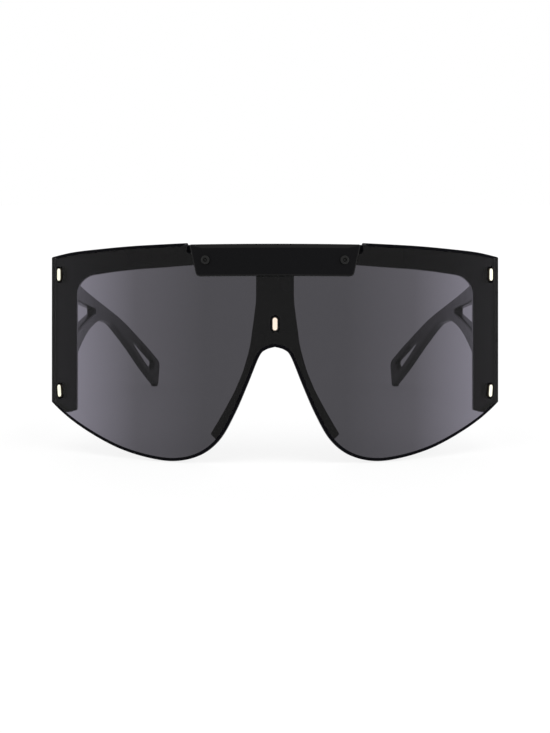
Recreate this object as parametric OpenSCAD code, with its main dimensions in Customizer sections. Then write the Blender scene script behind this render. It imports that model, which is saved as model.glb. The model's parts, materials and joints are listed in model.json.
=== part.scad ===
// Oversized wraparound sunglasses: one shield lens on a half frame, with two folding temples.
// The front is drawn upright: X across, Y back from the lens's face, Z up from its lowest edge.
// rest_pose() then leans everything back until the part stands on its lens and its temple tips.
// Left is the side at -X, and every left piece is the mirror image of its right one.

/* [Overall] */
// Width across the outer corners of the lens
frame_w = 146; // [138:1:154]
// Height of the lens
lens_h = 68; // [63:1:73]
// Radius of the lens's outer face, seen from above
wrap_r = 118; // [110:1:130]
// Length of each temple behind its hinge axis
temple_l = 130; // [122:1:138]
// Gap between the inner faces of the two temple tips
ear_gap = 97; // [90:1:108]

/* [Lens] */
// Thickness of the lens
lens_t = 2; // [1.6:0.1:2.4]
// Depth of the notch in the lens's top edge, behind the brow plate
notch_depth = 3; // [2:0.1:3.6]
// Bare frame that shows in the notch beside the brow plate
notch_side = 0.5; // [0.3:0.1:1.2]

/* [Front frame] */
// Thickness of the frame behind the lens
frame_t = 2.6; // [2.2:0.1:3.2]
// Distance that the frame's edge stays inside the lens's edge
frame_inset = 0.4; // [0.2:0.1:0.8]
// Height of the brow bar beside the plate
brow_h = 6.7; // [6.2:0.1:8]
// Width of each side panel
panel_w = 9.2; // [8:0.1:10.5]
// Width of the column between the two windows
column_w = 11.8; // [10:0.2:13]
// Width of each nose arm at its upper end
arm_w = 2.8; // [2.4:0.1:3.2]
// Width of each nose arm at its foot
arm_foot_w = 3.3; // [2.6:0.1:3.8]
// Length of each end piece, from the panel's outer corner back to the hinge axis
lug_l = 8.1; // [7.8:0.1:10]

/* [Brow plate] */
// Width of the plate along its top edge
plate_w = 53.2; // [48:0.2:56]
// Height of the plate
plate_h = 9.9; // [8.6:0.1:11]
// Thickness of the plate
plate_t = 1.8; // [1.4:0.1:2.2]
// Distance that each end of the plate slants in from its top edge to its bottom edge
plate_taper = 2.2; // [1.5:0.1:4]
// Radius of the plate's two lower corners
plate_corner_r = 1.2; // [0.6:0.1:2]
// Distance of the plate's top edge below the top of the lens
plate_drop = 0.6; // [0.3:0.1:1]

/* [Screws and rivets] */
// Radius of a plate screw's domed head
plate_screw_head_r = 1.45; // [1.2:0.05:1.8]
// Height of a plate screw's domed head
plate_screw_head_h = 0.7; // [0.5:0.05:1]
// Radius of a plate screw's shank
plate_screw_r = 0.8; // [0.6:0.05:1]
// Distance of a plate screw in from the end of the plate's top edge
plate_screw_inset = 5.1; // [4.4:0.1:7]
// Distance of a plate screw below the plate's top edge
plate_screw_drop = 4.9; // [4.4:0.1:5.2]
// Width of a rivet's oval head
rivet_w = 1.7; // [1.5:0.1:2.4]
// Height of a rivet's oval head
rivet_h = 4.2; // [3.8:0.1:5]
// Distance that a rivet's head stands out of the lens
rivet_proud = 0.3; // [0.1:0.05:0.5]
// Width of the groove round a rivet's head
rivet_groove = 0.3; // [0.2:0.05:0.4]
// Depth that a rivet's shank reaches into the frame
rivet_depth = 1.8; // [1.4:0.1:2]
// Distance of the upper corner rivets in from the side of the lens, along its face
rivet_side = 3.7; // [3.2:0.1:4.4]
// Distance of the lower corner rivets in from the side of the lens, along its face
rivet_low_side = 3.9; // [3.4:0.1:4.6]
// Distance of the upper corner rivets below the top of the lens
rivet_drop = 8.7; // [7.5:0.1:11]
// Height of the lower corner rivets above the lens's side corner
rivet_rise = 4.2; // [3.4:0.1:6]
// Tilt of the lower corner rivets, bottom towards the nose
rivet_tilt = 5; // [0:1:10]
// Height of the bridge rivet above the top of the nose cut-out
bridge_rivet_rise = 7.1; // [5:0.1:9]

/* [Nose pads] */
// Depth of a nose pad behind the nose arm
pad_depth = 6.5; // [5:0.5:8]
// Thickness of a nose pad where it meets the arm
pad_t = 1.5; // [1.2:0.1:1.8]
// Distance that a nose pad's rear edge stands further out than its root
pad_splay = 1.4; // [0.8:0.1:2]

/* [Temples] */
// Thickness of a temple at its root
temple_t = 3.4; // [3:0.1:4]
// Thickness of a temple at its tip
tip_t = 2.2; // [1.8:0.1:2.8]
// Height of a temple's root
root_h = 35; // [31:1:37]
// Distance of a temple's upper corner below the top of the lens
temple_drop = 7.3; // [6:0.1:9]
// Length of the straight stretch at a temple's root, seen from above
temple_straight = 10; // [9:1:16]

/* [Hinges] */
// Thickness of a hinge leaf
leaf_t = 0.8; // [0.6:0.05:1]
// Length of a hinge leaf from the hinge axis
leaf_l = 6.4; // [5.8:0.1:6.8]
// Height of a hinge leaf
leaf_h = 12; // [11:0.5:16]
// Radius of a hinge knuckle
knuckle_r = 1.15; // [1.05:0.05:1.3]
// Height of one knuckle
knuckle_h = 1.7; // [1.4:0.05:1.8]
// Radius of the hinge axle
axle_r = 0.6; // [0.5:0.05:0.7]
// Radius of a leaf screw's shank
leaf_screw_r = 0.5; // [0.4:0.05:0.6]
// Radius of a leaf screw's head
leaf_screw_head_r = 0.9; // [0.8:0.05:1]
// Height of a leaf screw's head
leaf_screw_head_h = 0.3; // [0.2:0.05:0.4]

/* [Hidden] */

// Gap between pieces that seat on each other
seat_gap = 0.1;
// Radial clearance of a screw or an axle in its hole
bore_gap = 0.05;
// Gap between pieces that pass each other at the hinge
hinge_gap = 0.15;
// Length by which a cut runs past what it cuts
overrun = 1;
// Steps in each stretch of a smoothed outline, and in each rounded corner
curve_steps = 6;
corner_steps = 6;
// Facets of the long arcs and of the small round pieces
$fn = 48;
wide_fn = 360;
// Number of knuckles in a hinge, front and temple ones by turns, and of screws in a leaf
knuckles = 5;
leaf_screws = 2;
// The hinge's middle as a share of root_h below the temple's upper corner
hinge_share = 0.44;
// A leaf screw's place along its leaf, and the share of a temple's thickness that it reaches into
leaf_screw_share = 0.6;
leaf_screw_reach_share = 0.6;

// The front, seen from above
half_w = frame_w / 2;
half_angle = asin(half_w / wrap_r);
lens_back_r = wrap_r - lens_t;
frame_r = lens_back_r - seat_gap;
frame_back_r = frame_r - frame_t;
plate_r = wrap_r + seat_gap;
plate_face_r = plate_r + plate_t;

// The lens's right half as shares of half_w and lens_h: top edge, side corner, lower edge, nose
top_edge_shares = [[0.375, 1], [0.48, 0.997], [0.615, 0.993], [0.755, 0.9855], [0.9, 0.975], [1.02, 0.954]];
side_corner_share = 0.256;
lower_edge_shares = [
    [0.94, 0.209], [0.826, 0.13], [0.685, 0.056], [0.547, 0.013], [0.426, 0], [0.32, 0.028]
];
nose_shares = [[0.236, 0.1], [0.17, 0.222], [0.115, 0.356], [0.068, 0.478], [0.04, 0.51]];
nose_top_share = 0.523;
// The lower edge starts past the side, this far out and above the side corner as shares of half_w
lower_start_shares = [1.02, 0.025];

// The window's nose side above the arm, as shares of the column's half width and of lens_h
column_side_shares = [[1, 0.88], [1, 0.75], [1.07, 0.685], [1.2, 0.6], [1.375, 0.507]];
// The window's top edge, as shares of half_w and as drops by shares of brow_h: the brow is deeper
// behind the plate, round the plate screws, and again towards the panel
window_top_shares = [[0.3, 0.134], [0.34, 0], [0.47, 0.085], [0.6, 0.15], [0.7, 0.235], [0.765, 0.315]];
window_corner_r = 6.5;
// The panel's inner edge starts below the window's top by a share of brow_h. Its foot bends
// outwards after a share of half_w, and goes below the side corner by shares of lens_h
panel_top_share = 0.45;
panel_bend_share = 0.12;
panel_foot_shares = [0.031, 0.055, 0.2];
// The nose arm's cut end aims past the lens's edge by shares of arm_w
arm_end_shares = [0.2, 0.6];

side_corner_z = side_corner_share * lens_h;
nose_top_z = nose_top_share * lens_h;
window_top_z = lens_h - brow_h;
panel_x = half_w - panel_w;

// The plate and its screws
plate_top_z = lens_h - plate_drop;
plate_low_z = plate_top_z - plate_h;
plate_screw_z = plate_top_z - plate_screw_drop;
plate_screw_angle = asin((plate_w / 2 - plate_screw_inset) / plate_face_r);
notch_half_w = plate_w / 2 + notch_side;

// The rivets
rivet_upper_angle = half_angle - rivet_side / wrap_r * 180 / PI;
rivet_lower_angle = half_angle - rivet_low_side / wrap_r * 180 / PI;
rivet_upper_z = lens_h - rivet_drop;
rivet_lower_z = side_corner_z + rivet_rise;
bridge_rivet_z = nose_top_z + bridge_rivet_rise;
rivet_shank_w = rivet_w / 2;
rivet_shank_h = rivet_h - rivet_w;

// The hinge line and the temples, just inside the frame's outer corner by lug_ledge
lug_ledge = frame_t / 8;
temple_out_x = (frame_r - lug_ledge) * sin(half_angle);
temple_in_x = temple_out_x - temple_t;
axis_x = temple_in_x - knuckle_r - hinge_gap;
axis_y = wrap_r - frame_r * cos(half_angle) + lug_l;
root_top_z = lens_h - temple_drop;
root_low_z = root_top_z - root_h;
hinge_z = root_top_z - root_h * hinge_share;
barrel_h = knuckles * knuckle_h + (knuckles - 1) * hinge_gap;
bend_y = axis_y + temple_straight;
bend_l = temple_l - temple_straight;
bend_in_r = arc_radius(temple_in_x - ear_gap / 2, bend_l);
tip_angle = asin(bend_l / bend_in_r);
bend_out_r = arc_radius(temple_out_x - ear_gap / 2 - tip_t / cos(tip_angle), bend_l);

// The temple's side outline as shares of temple_l and root_h, from the hinge axis and root_low_z
temple_upper_shares = [[0, 1], [0.204, 0.912], [0.464, 0.778], [0.678, 0.618], [0.865, 0.377], [0.98, 0.185]];
temple_lower_shares = [
    [0.965, -0.124], [0.888, 0.03], [0.745, 0.317], [0.605, 0.533], [0.523, 0.583],
    [0.44, 0.583], [0.304, 0.459], [0.143, 0.223], [0, 0]
];
tip_top_shares = [1, 0.145];
tip_low_shares = [0.983, -0.217];
tip_top_r = 3;
tip_low_r = 1.6;
// The triangular hole behind the hinge and the slot in the tip
hole_shares = [[0.085, 0.773], [0.085, 0.397], [0.43, 0.696]];
hole_r = 2;
hole_end_r = 0.9;
slot_shares = [[0.754, 0.41], [0.846, 0.332], [0.96, 0.139], [0.932, 0.04]];
slot_r = 1;
slot_bend_r = 8;
slot_point_r = 0.4;

// Outlines

// Radius of an arc that leaves a straight line and is dx off it after dy
function arc_radius(dx, dy) = dy / sin(2 * atan(dx / dy));

// Points of a table of shares, at real size
function at_size(shares, w, h) = [for (s = shares) [s.x * w, s.y * h]];

function mirrored(pts) = [for (i = [len(pts) - 1:-1:0]) [-pts[i].x, pts[i].y]];

// Point at t between b and c, on the smooth curve through a, b, c and d
function curve_point(a, b, c, d, t) =
    b + (c - a) * t / 2 + (2 * a - 5 * b + 4 * c - d) * t ^ 2 / 2 + (3 * b - a - 3 * c + d) * t ^ 3 / 2;

// Smooth curve through all points
function smooth(pts) =
    let (last = len(pts) - 1)
    [
        for (i = [0:last - 1])
            for (j = [0:curve_steps - 1])
                curve_point(pts[max(i - 1, 0)], pts[i], pts[i + 1], pts[min(i + 2, last)], j / curve_steps),
        pts[last]
    ];

function unit(v) = v / norm(v);

// Points moved sideways by d, to the right of the way they run: into the lens, on its outline
function inset_path(pts, d) =
    let (last = len(pts) - 1)
    [
        for (i = [0:last])
            let (along = unit(pts[min(i + 1, last)] - pts[max(i - 1, 0)]))
            pts[i] + d * [along.y, -along.x]
    ];

// The arc that rounds corner p between a and b
function corner_arc(a, p, b, r) =
    let (
        u = unit(a - p),
        v = unit(b - p),
        half = acos(u * v) / 2,
        centre = p + unit(u + v) * r / sin(half),
        from = p + u * r / tan(half) - centre,
        to = p + v * r / tan(half) - centre,
        start = atan2(from.y, from.x),
        turn = atan2(from.x * to.y - from.y * to.x, from * to)
    )
    [for (i = [0:corner_steps]) centre + r * [cos(start + turn * i / corner_steps),
                                              sin(start + turn * i / corner_steps)]];

// Closed outline in which every corner given as [x, y, radius] is rounded
function rounded(pts) =
    let (n = len(pts), flat = [for (p = pts) [p.x, p.y]])
    [
        for (i = [0:n - 1])
            each len(pts[i]) > 2
                ? corner_arc(flat[(i + n - 1) % n], flat[i], flat[(i + 1) % n], pts[i][2])
                : [flat[i]]
    ];

lower_edge = smooth(concat(
    [[0, side_corner_z] + half_w * lower_start_shares],
    at_size(lower_edge_shares, half_w, lens_h),
    at_size(nose_shares, half_w, lens_h),
    [[0, nose_top_z]]
));
right_edge = concat(smooth(at_size(top_edge_shares, half_w, lens_h)), lower_edge);
lens_outline = concat(right_edge, mirrored(right_edge));

// The nose arm's edge in the window follows the lens's edge, at arm_w above and arm_foot_w below
arm_edge = inset_path(at_size(nose_shares, half_w, lens_h), arm_w);
arm_foot_edge = inset_path(at_size(nose_shares, half_w, lens_h), arm_foot_w);
window_nose_side = smooth(concat(
    at_size(column_side_shares, column_w / 2, lens_h),
    [arm_edge[2], arm_foot_edge[1], arm_foot_edge[0]]
));
window_top = [for (s = window_top_shares) [s.x * half_w, window_top_z - s.y * brow_h]];

temple_outline = rounded(concat(
    smooth(at_size(temple_upper_shares, temple_l, root_h)),
    [[tip_top_shares.x * temple_l, tip_top_shares.y * root_h, tip_top_r],
     [tip_low_shares.x * temple_l, tip_low_shares.y * root_h, tip_low_r]],
    smooth(at_size(temple_lower_shares, temple_l, root_h))
));

// How far the front leans back, so that the lens's lower edge and the temple tips touch one plane

// Distance back from the lens's foremost line, at x across, to a face of radius r
function face_y(x, r) = wrap_r - sqrt(r ^ 2 - x ^ 2);

lens_feet = [for (p = lower_edge) if (p.x < half_w) [face_y(p.x, lens_back_r), p.y]];
tip_feet = [for (p = temple_outline) if (p.x > temple_l / 2) [axis_y + p.x, root_low_z + p.y]];
lean = max([for (a = lens_feet) min([for (b = tip_feet) atan2(b.y - a.y, b.x - a.x)])]);
lift = -min([for (a = lens_feet) leaned(a).y]);
front_y = min([for (p = lower_edge) if (p.x < half_w) leaned([face_y(p.x, wrap_r), p.y]).x]);
back_y = max([for (b = tip_feet) leaned(b).x]);

// A point [y, z] of the upright front, after the lean
function leaned(p) = [p.x * cos(lean) - p.y * sin(-lean), p.x * sin(-lean) + p.y * cos(lean)];

module rest_pose() {
    translate([0, -(front_y + back_y) / 2, lift])
        rotate([-lean, 0, 0])
            children();
}

module left() {
    mirror([1, 0, 0]) children();
}

// Shapes that several pieces share

// A shell of the front between two radii, cut by an outline seen from the front
module wrapped(outer_r, inner_r, outline) {
    intersection() {
        translate([0, wrap_r, -overrun])
            difference() {
                cylinder(r = outer_r, h = lens_h + 2 * overrun, $fn = wide_fn);
                translate([0, 0, -overrun])
                    cylinder(r = inner_r, h = lens_h + 4 * overrun, $fn = wide_fn);
            }
        front_prism(outline);
        side_wedge();
    }
}

// Everything behind an outline that is seen from the front
module front_prism(outline) {
    translate([0, wrap_r, 0])
        rotate([90, 0, 0])
            linear_extrude(2 * wrap_r)
                polygon(outline);
}

// The space between the two radial planes that end the front at its sides
module side_wedge() {
    reach = 2 * wrap_r;
    translate([0, wrap_r, -overrun])
        linear_extrude(lens_h + 2 * overrun)
            polygon([[0, 0], [-reach * tan(half_angle), -reach], [reach * tan(half_angle), -reach]]);
}

// Place at an angle round the front and a height, with +Z pointing out of the lens and +Y up
module at_front(angle, z) {
    translate([0, wrap_r, z])
        rotate([0, 0, angle])
            translate([0, -wrap_r, 0])
                rotate([90, 0, 0])
                    children();
}

// Upright oval prism from z0 to z1
module oval(w, h, z0, z1) {
    translate([0, 0, z0])
        linear_extrude(z1 - z0)
            union() {
                square([w, h - w], center = true);
                translate([0, (h - w) / 2]) circle(d = w);
                translate([0, (w - h) / 2]) circle(d = w);
            }
}

module at_rivets() {
    at_upper_rivet() children();
    at_lower_rivet() children();
    left() at_upper_rivet() children();
    left() at_lower_rivet() children();
    at_bridge_rivet() children();
}

module at_upper_rivet() {
    at_front(rivet_upper_angle, rivet_upper_z) children();
}

module at_lower_rivet() {
    at_front(rivet_lower_angle, rivet_lower_z) rotate([0, 0, -rivet_tilt]) children();
}

module at_bridge_rivet() {
    at_front(0, bridge_rivet_z) children();
}

module at_plate_screw() {
    at_front(plate_screw_angle, plate_screw_z) children();
}

// Round hole through the whole front for a plate screw
module plate_screw_hole() {
    translate([0, 0, frame_back_r - wrap_r - overrun])
        cylinder(r = plate_screw_r + bore_gap, h = plate_face_r - frame_back_r + 2 * overrun);
}

// Lens

module lens() {
    color("dimgray", 0.7) rest_pose() difference() {
        wrapped(wrap_r, lens_back_r, lens_outline);
        brow_notch();
        at_plate_screw() plate_screw_hole();
        left() at_plate_screw() plate_screw_hole();
        at_rivets() oval(rivet_w + 2 * rivet_groove, rivet_h + 2 * rivet_groove,
                         -lens_t - overrun, overrun);
    }
}

module brow_notch() {
    translate([-notch_half_w, -overrun, lens_h - notch_depth])
        cube([2 * notch_half_w, half_w, notch_depth + overrun]);
}

// Front frame

module front_frame() {
    color("#161616") rest_pose() difference() {
        union() {
            difference() {
                wrapped(frame_r, frame_back_r, frame_outline());
                front_prism(window_outline());
                left() front_prism(window_outline());
            }
            end_piece();
            left() end_piece();
        }
        at_plate_screw() plate_screw_hole();
        left() at_plate_screw() plate_screw_hole();
        at_rivets() rivet_socket();
        at_leaf_screws(-1) leaf_screw_hole();
        left() at_leaf_screws(-1) leaf_screw_hole();
    }
}

// The lens's outline, drawn in all round by frame_inset
function frame_outline() =
    let (
        inner = inset_path(right_edge, frame_inset),
        half = [for (p = inner) if (p.x >= 0) p]
    )
    concat(half, mirrored(half));

// Everything of the right half that the frame leaves open, window and the space below it
function window_outline() =
    let (
        below = -overrun,
        outside = half_w + overrun,
        lens_side = at_size(nose_shares, half_w, lens_h)[0]
    )
    rounded(concat(
        [[column_w / 2, window_top[0].y]],
        window_top,
        [[panel_x, window_top_z - panel_top_share * brow_h, window_corner_r],
         [panel_x, side_corner_z - panel_foot_shares[0] * lens_h, arm_w / 4],
         [panel_x + panel_bend_share * half_w, side_corner_z - panel_foot_shares[1] * lens_h],
         [outside, side_corner_z - panel_foot_shares[2] * lens_h],
         [outside, below],
         [lens_side.x - arm_w, below],
         lens_side - arm_w * arm_end_shares,
         [arm_foot_edge[0].x, arm_foot_edge[0].y, arm_w / 4]],
        [for (i = [len(window_nose_side) - 2:-1:1]) window_nose_side[i]]
    ));

// The block that carries the hinge, from the panel back to the temple's root
module end_piece() {
    butt = axis_y - hinge_gap / 2;
    flare = temple_t / 2;
    intersection() {
        translate([temple_in_x, 0, 0])
            rotate([90, 0, 90])
                linear_extrude(temple_t)
                    polygon([
                        [0, root_low_z - flare], [axis_y - lug_l / 2, root_low_z - flare / 2],
                        [butt, root_low_z], [butt, root_top_z], [0, root_top_z + flare / 2]
                    ]);
        translate([0, wrap_r, 0])
            cylinder(r = frame_r - lug_ledge / 2, h = lens_h, $fn = wide_fn);
    }
}

// Brow plate and its screws

module brow_plate() {
    half_top = plate_w / 2;
    half_low = half_top - plate_taper;
    outline = rounded([
        [-half_top, plate_top_z], [half_top, plate_top_z],
        [half_low, plate_low_z, plate_corner_r], [-half_low, plate_low_z, plate_corner_r]
    ]);
    color("#1b1b1c") rest_pose() difference() {
        wrapped(plate_face_r, plate_r, outline);
        at_plate_screw() plate_screw_hole();
        left() at_plate_screw() plate_screw_hole();
    }
}

module plate_screw() {
    dome_r = (plate_screw_head_r ^ 2 + plate_screw_head_h ^ 2) / (2 * plate_screw_head_h);
    face = plate_face_r - wrap_r + bore_gap;
    at_plate_screw() {
        translate([0, 0, face])
            intersection() {
                translate([0, 0, plate_screw_head_h - dome_r]) sphere(r = dome_r);
                cylinder(r = plate_screw_head_r, h = plate_screw_head_h);
            }
        translate([0, 0, frame_back_r - wrap_r])
            cylinder(r = plate_screw_r, h = plate_face_r - frame_back_r + plate_screw_head_h / 2);
    }
}

module plate_screw_left() {
    color("#0c0c0c") rest_pose() left() plate_screw();
}

module plate_screw_right() {
    color("#0c0c0c") rest_pose() plate_screw();
}

// Rivets

module rivet() {
    seat = frame_r - wrap_r + bore_gap;
    oval(rivet_w, rivet_h, seat, rivet_proud);
    oval(rivet_shank_w, rivet_shank_h, seat - rivet_depth, rivet_proud / 2);
}

module rivet_socket() {
    floor_z = frame_r - wrap_r - rivet_depth - bore_gap;
    oval(rivet_shank_w + 2 * bore_gap, rivet_shank_h + 2 * bore_gap, floor_z, overrun);
}

module corner_rivet_upper_left() {
    color("#d8c08c") rest_pose() left() at_upper_rivet() rivet();
}

module corner_rivet_upper_right() {
    color("#d8c08c") rest_pose() at_upper_rivet() rivet();
}

module corner_rivet_lower_left() {
    color("#d8c08c") rest_pose() left() at_lower_rivet() rivet();
}

module corner_rivet_lower_right() {
    color("#d8c08c") rest_pose() at_lower_rivet() rivet();
}

module bridge_rivet() {
    color("#d8b48c") rest_pose() at_bridge_rivet() rivet();
}

// Nose pads: a soft flange along the back of each nose arm

pad_stations = 17;
// Where the pad starts and ends on its root line, and how deep and wide its two ends are
pad_top_share = 0.86;
pad_low_share = 0.1;
pad_end_depth_share = 0.15;
pad_end_width_share = 0.4;
// One pad section as shares of the pad's thickness there and of its depth
pad_section_shares = [
    [-0.5, 0], [0.5, 0], [0.48, 0.3], [0.42, 0.6], [0.3, 0.85], [0, 1], [-0.3, 0.85], [-0.42, 0.6],
    [-0.48, 0.3]
];

// The pad's root line runs down the middle of the arm
pad_line = smooth(inset_path(at_size(nose_shares, half_w, lens_h), arm_w / 2));

// Point of the root line at a share of its way
function pad_point(share) =
    let (
        at = share * (len(pad_line) - 1),
        i = min(floor(at), len(pad_line) - 2)
    )
    pad_line[i] + (at - i) * (pad_line[i + 1] - pad_line[i]);

function pad_ring(k) =
    let (
        way = k / (pad_stations - 1),
        share = pad_low_share + way * (pad_top_share - pad_low_share),
        step = 0.01,
        root = pad_point(share),
        along = unit(pad_point(share + step) - pad_point(share - step)),
        out = [along.y, -along.x],
        fullness = sqrt(max(1 - (2 * way - 1) ^ 4, 0)),
        depth = pad_depth * (pad_end_depth_share + (1 - pad_end_depth_share) * fullness),
        width = pad_t * (pad_end_width_share + (1 - pad_end_width_share) * fullness)
    )
    [
        for (s = pad_section_shares)
            let (p = root + out * (s.x * width + pad_splay * s.y * depth / pad_depth))
            [p.x, face_y(root.x, frame_back_r) + seat_gap + pad_t / 5 + s.y * depth, p.y]
    ];

module nose_pad() {
    sides = len(pad_section_shares);
    points = [for (k = [0:pad_stations - 1]) each pad_ring(k)];
    walls = [
        for (k = [0:pad_stations - 2])
            for (j = [0:sides - 1])
                let (a = k * sides + j, b = k * sides + (j + 1) % sides)
                each [[a, b, a + sides], [b, b + sides, a + sides]]
    ];
    first_cap = [for (j = [1:sides - 2]) [0, j + 1, j]];
    last = (pad_stations - 1) * sides;
    last_cap = [for (j = [1:sides - 2]) [last, last + j, last + j + 1]];
    polyhedron(points, concat(walls, first_cap, last_cap));
}

module nose_pad_left() {
    color("#202022") rest_pose() left() nose_pad();
}

module nose_pad_right() {
    color("#202022") rest_pose() nose_pad();
}

// Hinges

// Height of the bottom of knuckle i
function knuckle_z(i) = hinge_z - barrel_h / 2 + i * (knuckle_h + hinge_gap);

// A leaf and its knuckles: way is -1 for the front's leaf and 1 for the temple's
module hinge_leaf(way) {
    mine = way < 0 ? 0 : 1;
    leaf_y = way < 0 ? axis_y - leaf_l : axis_y;
    room = knuckle_r + hinge_gap;
    difference() {
        union() {
            translate([temple_in_x - seat_gap - leaf_t, leaf_y, hinge_z - leaf_h / 2])
                cube([leaf_t, leaf_l, leaf_h]);
            for (i = [mine:2:knuckles - 1])
                translate([axis_x, axis_y, knuckle_z(i)])
                    cylinder(r = knuckle_r, h = knuckle_h);
        }
        // Room for the other leaf's knuckles
        for (i = [1 - mine:2:knuckles - 1])
            translate([axis_x, axis_y, knuckle_z(i) - hinge_gap])
                cylinder(r = room, h = knuckle_h + 2 * hinge_gap);
        // Room for the screw's head and the other leaf's edge, above and below the barrel
        for (z = [hinge_z - leaf_h, hinge_z + barrel_h / 2])
            translate([axis_x, axis_y - room, z])
                cube([2 * room, 2 * room, leaf_h - barrel_h / 2]);
        translate([axis_x, axis_y, hinge_z - leaf_h / 2 - overrun])
            cylinder(r = axle_r + bore_gap, h = leaf_h + 2 * overrun);
        at_leaf_screws(way) leaf_screw_hole();
    }
}

// The leaf screws' places, with +Z pointing out of the leaf's inner face
module at_leaf_screws(way) {
    pitch = leaf_h / leaf_screws;
    for (i = [0:leaf_screws - 1])
        translate([
            temple_in_x - seat_gap - leaf_t,
            axis_y + way * leaf_l * leaf_screw_share,
            hinge_z + (i - (leaf_screws - 1) / 2) * pitch
        ])
            rotate([0, -90, 0])
                children();
}

leaf_screw_l = leaf_t + seat_gap + temple_t * leaf_screw_reach_share;

module leaf_screw() {
    translate([0, 0, bore_gap])
        cylinder(r = leaf_screw_head_r, h = leaf_screw_head_h);
    translate([0, 0, -leaf_screw_l])
        cylinder(r = leaf_screw_r, h = leaf_screw_l + leaf_screw_head_h / 2);
}

module leaf_screw_hole() {
    translate([0, 0, -leaf_screw_l - bore_gap])
        cylinder(r = leaf_screw_r + bore_gap, h = leaf_screw_l + overrun);
}

// The axle screw: its head sits on the top knuckle
module hinge_screw() {
    top = hinge_z + barrel_h / 2;
    translate([axis_x, axis_y, 0]) {
        translate([0, 0, hinge_z - barrel_h / 2])
            cylinder(r = axle_r, h = barrel_h + knuckle_h / 4);
        translate([0, 0, top + bore_gap])
            cylinder(r = knuckle_r - bore_gap, h = knuckle_h / 3);
    }
}

module front_hinge_left() {
    color("#8b8b8e") rest_pose() left() hinge_leaf(-1);
}

module front_hinge_right() {
    color("#8b8b8e") rest_pose() hinge_leaf(-1);
}

module front_hinge_screws_left() {
    color("#a0a0a2") rest_pose() left() at_leaf_screws(-1) leaf_screw();
}

module front_hinge_screws_right() {
    color("#a0a0a2") rest_pose() at_leaf_screws(-1) leaf_screw();
}

module temple_hinge_left() {
    color("#8b8b8e") rest_pose() left() hinge_leaf(1);
}

module temple_hinge_right() {
    color("#8b8b8e") rest_pose() hinge_leaf(1);
}

module temple_hinge_screws_left() {
    color("#a0a0a2") rest_pose() left() at_leaf_screws(1) leaf_screw();
}

module temple_hinge_screws_right() {
    color("#a0a0a2") rest_pose() at_leaf_screws(1) leaf_screw();
}

module hinge_screw_left() {
    color("#a0a0a2") rest_pose() left() hinge_screw();
}

module hinge_screw_right() {
    color("#a0a0a2") rest_pose() hinge_screw();
}

// Temples

// The temple's strip seen from above: straight at the root, then bent in towards the ear
module temple_plan() {
    root_y = axis_y + hinge_gap / 2;
    translate([temple_in_x, root_y])
        square([temple_t, bend_y - root_y]);
    difference() {
        intersection() {
            translate([temple_out_x - bend_out_r, bend_y]) circle(r = bend_out_r, $fn = wide_fn);
            translate([0, bend_y]) square([frame_w, bend_l + overrun]);
        }
        translate([temple_in_x - bend_in_r, bend_y]) circle(r = bend_in_r, $fn = wide_fn);
    }
}

// A side outline, given from the hinge axis and root_low_z, pushed through the temple
module side_prism(outline) {
    translate([0, axis_y, root_low_z])
        rotate([90, 0, 90])
            linear_extrude(frame_w)
                polygon(outline);
}

function hole_outline() =
    let (p = at_size(hole_shares, temple_l, root_h))
    rounded([concat(p[0], hole_r), concat(p[1], hole_r), concat(p[2], hole_end_r)]);

function slot_outline() =
    let (p = at_size(slot_shares, temple_l, root_h))
    rounded([
        concat(p[0], slot_point_r), concat(p[1], slot_bend_r), concat(p[2], slot_r), concat(p[3], slot_r)
    ]);

module temple() {
    difference() {
        intersection() {
            linear_extrude(lens_h) temple_plan();
            side_prism(temple_outline);
        }
        side_prism(hole_outline());
        side_prism(slot_outline());
        at_leaf_screws(1) leaf_screw_hole();
    }
}

module temple_left() {
    color("#161616") rest_pose() left() temple();
}

module temple_right() {
    color("#161616") rest_pose() temple();
}

lens();
front_frame();
brow_plate();
plate_screw_left();
plate_screw_right();
corner_rivet_upper_left();
corner_rivet_upper_right();
corner_rivet_lower_left();
corner_rivet_lower_right();
bridge_rivet();
nose_pad_left();
nose_pad_right();
front_hinge_left();
front_hinge_right();
front_hinge_screws_left();
front_hinge_screws_right();
temple_left();
temple_right();
temple_hinge_left();
temple_hinge_right();
temple_hinge_screws_left();
temple_hinge_screws_right();
hinge_screw_left();
hinge_screw_right();
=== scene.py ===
"""Oversized wraparound sunglasses: the looks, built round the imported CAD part.

Shapes are drawn upright first, as the wearer holds the front: X across, Y back from the lens's
foremost line, Z up from its lowest edge. UPRIGHT then leans them into the part's rest pose.
Left is the side at -X, and every left piece is the mirror image of its right one.
"""

import json
import math

import bmesh
import bpy
from mathutils import Matrix, Vector
from mathutils.geometry import intersect_line_line_2d, tessellate_polygon

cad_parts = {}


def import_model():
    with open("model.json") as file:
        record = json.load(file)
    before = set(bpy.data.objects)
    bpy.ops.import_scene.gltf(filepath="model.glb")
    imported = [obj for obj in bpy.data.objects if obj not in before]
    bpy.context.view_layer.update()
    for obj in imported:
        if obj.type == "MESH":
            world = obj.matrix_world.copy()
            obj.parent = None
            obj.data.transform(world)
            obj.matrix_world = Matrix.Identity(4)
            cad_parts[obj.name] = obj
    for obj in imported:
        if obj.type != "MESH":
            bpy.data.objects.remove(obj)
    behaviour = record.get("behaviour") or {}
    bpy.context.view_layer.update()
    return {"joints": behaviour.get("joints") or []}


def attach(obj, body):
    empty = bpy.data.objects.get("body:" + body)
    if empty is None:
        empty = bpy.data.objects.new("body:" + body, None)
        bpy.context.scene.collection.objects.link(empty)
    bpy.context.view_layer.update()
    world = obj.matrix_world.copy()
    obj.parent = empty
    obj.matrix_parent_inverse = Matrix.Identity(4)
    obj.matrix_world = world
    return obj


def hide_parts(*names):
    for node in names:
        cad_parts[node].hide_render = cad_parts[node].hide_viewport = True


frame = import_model()

MM = 0.001

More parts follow.
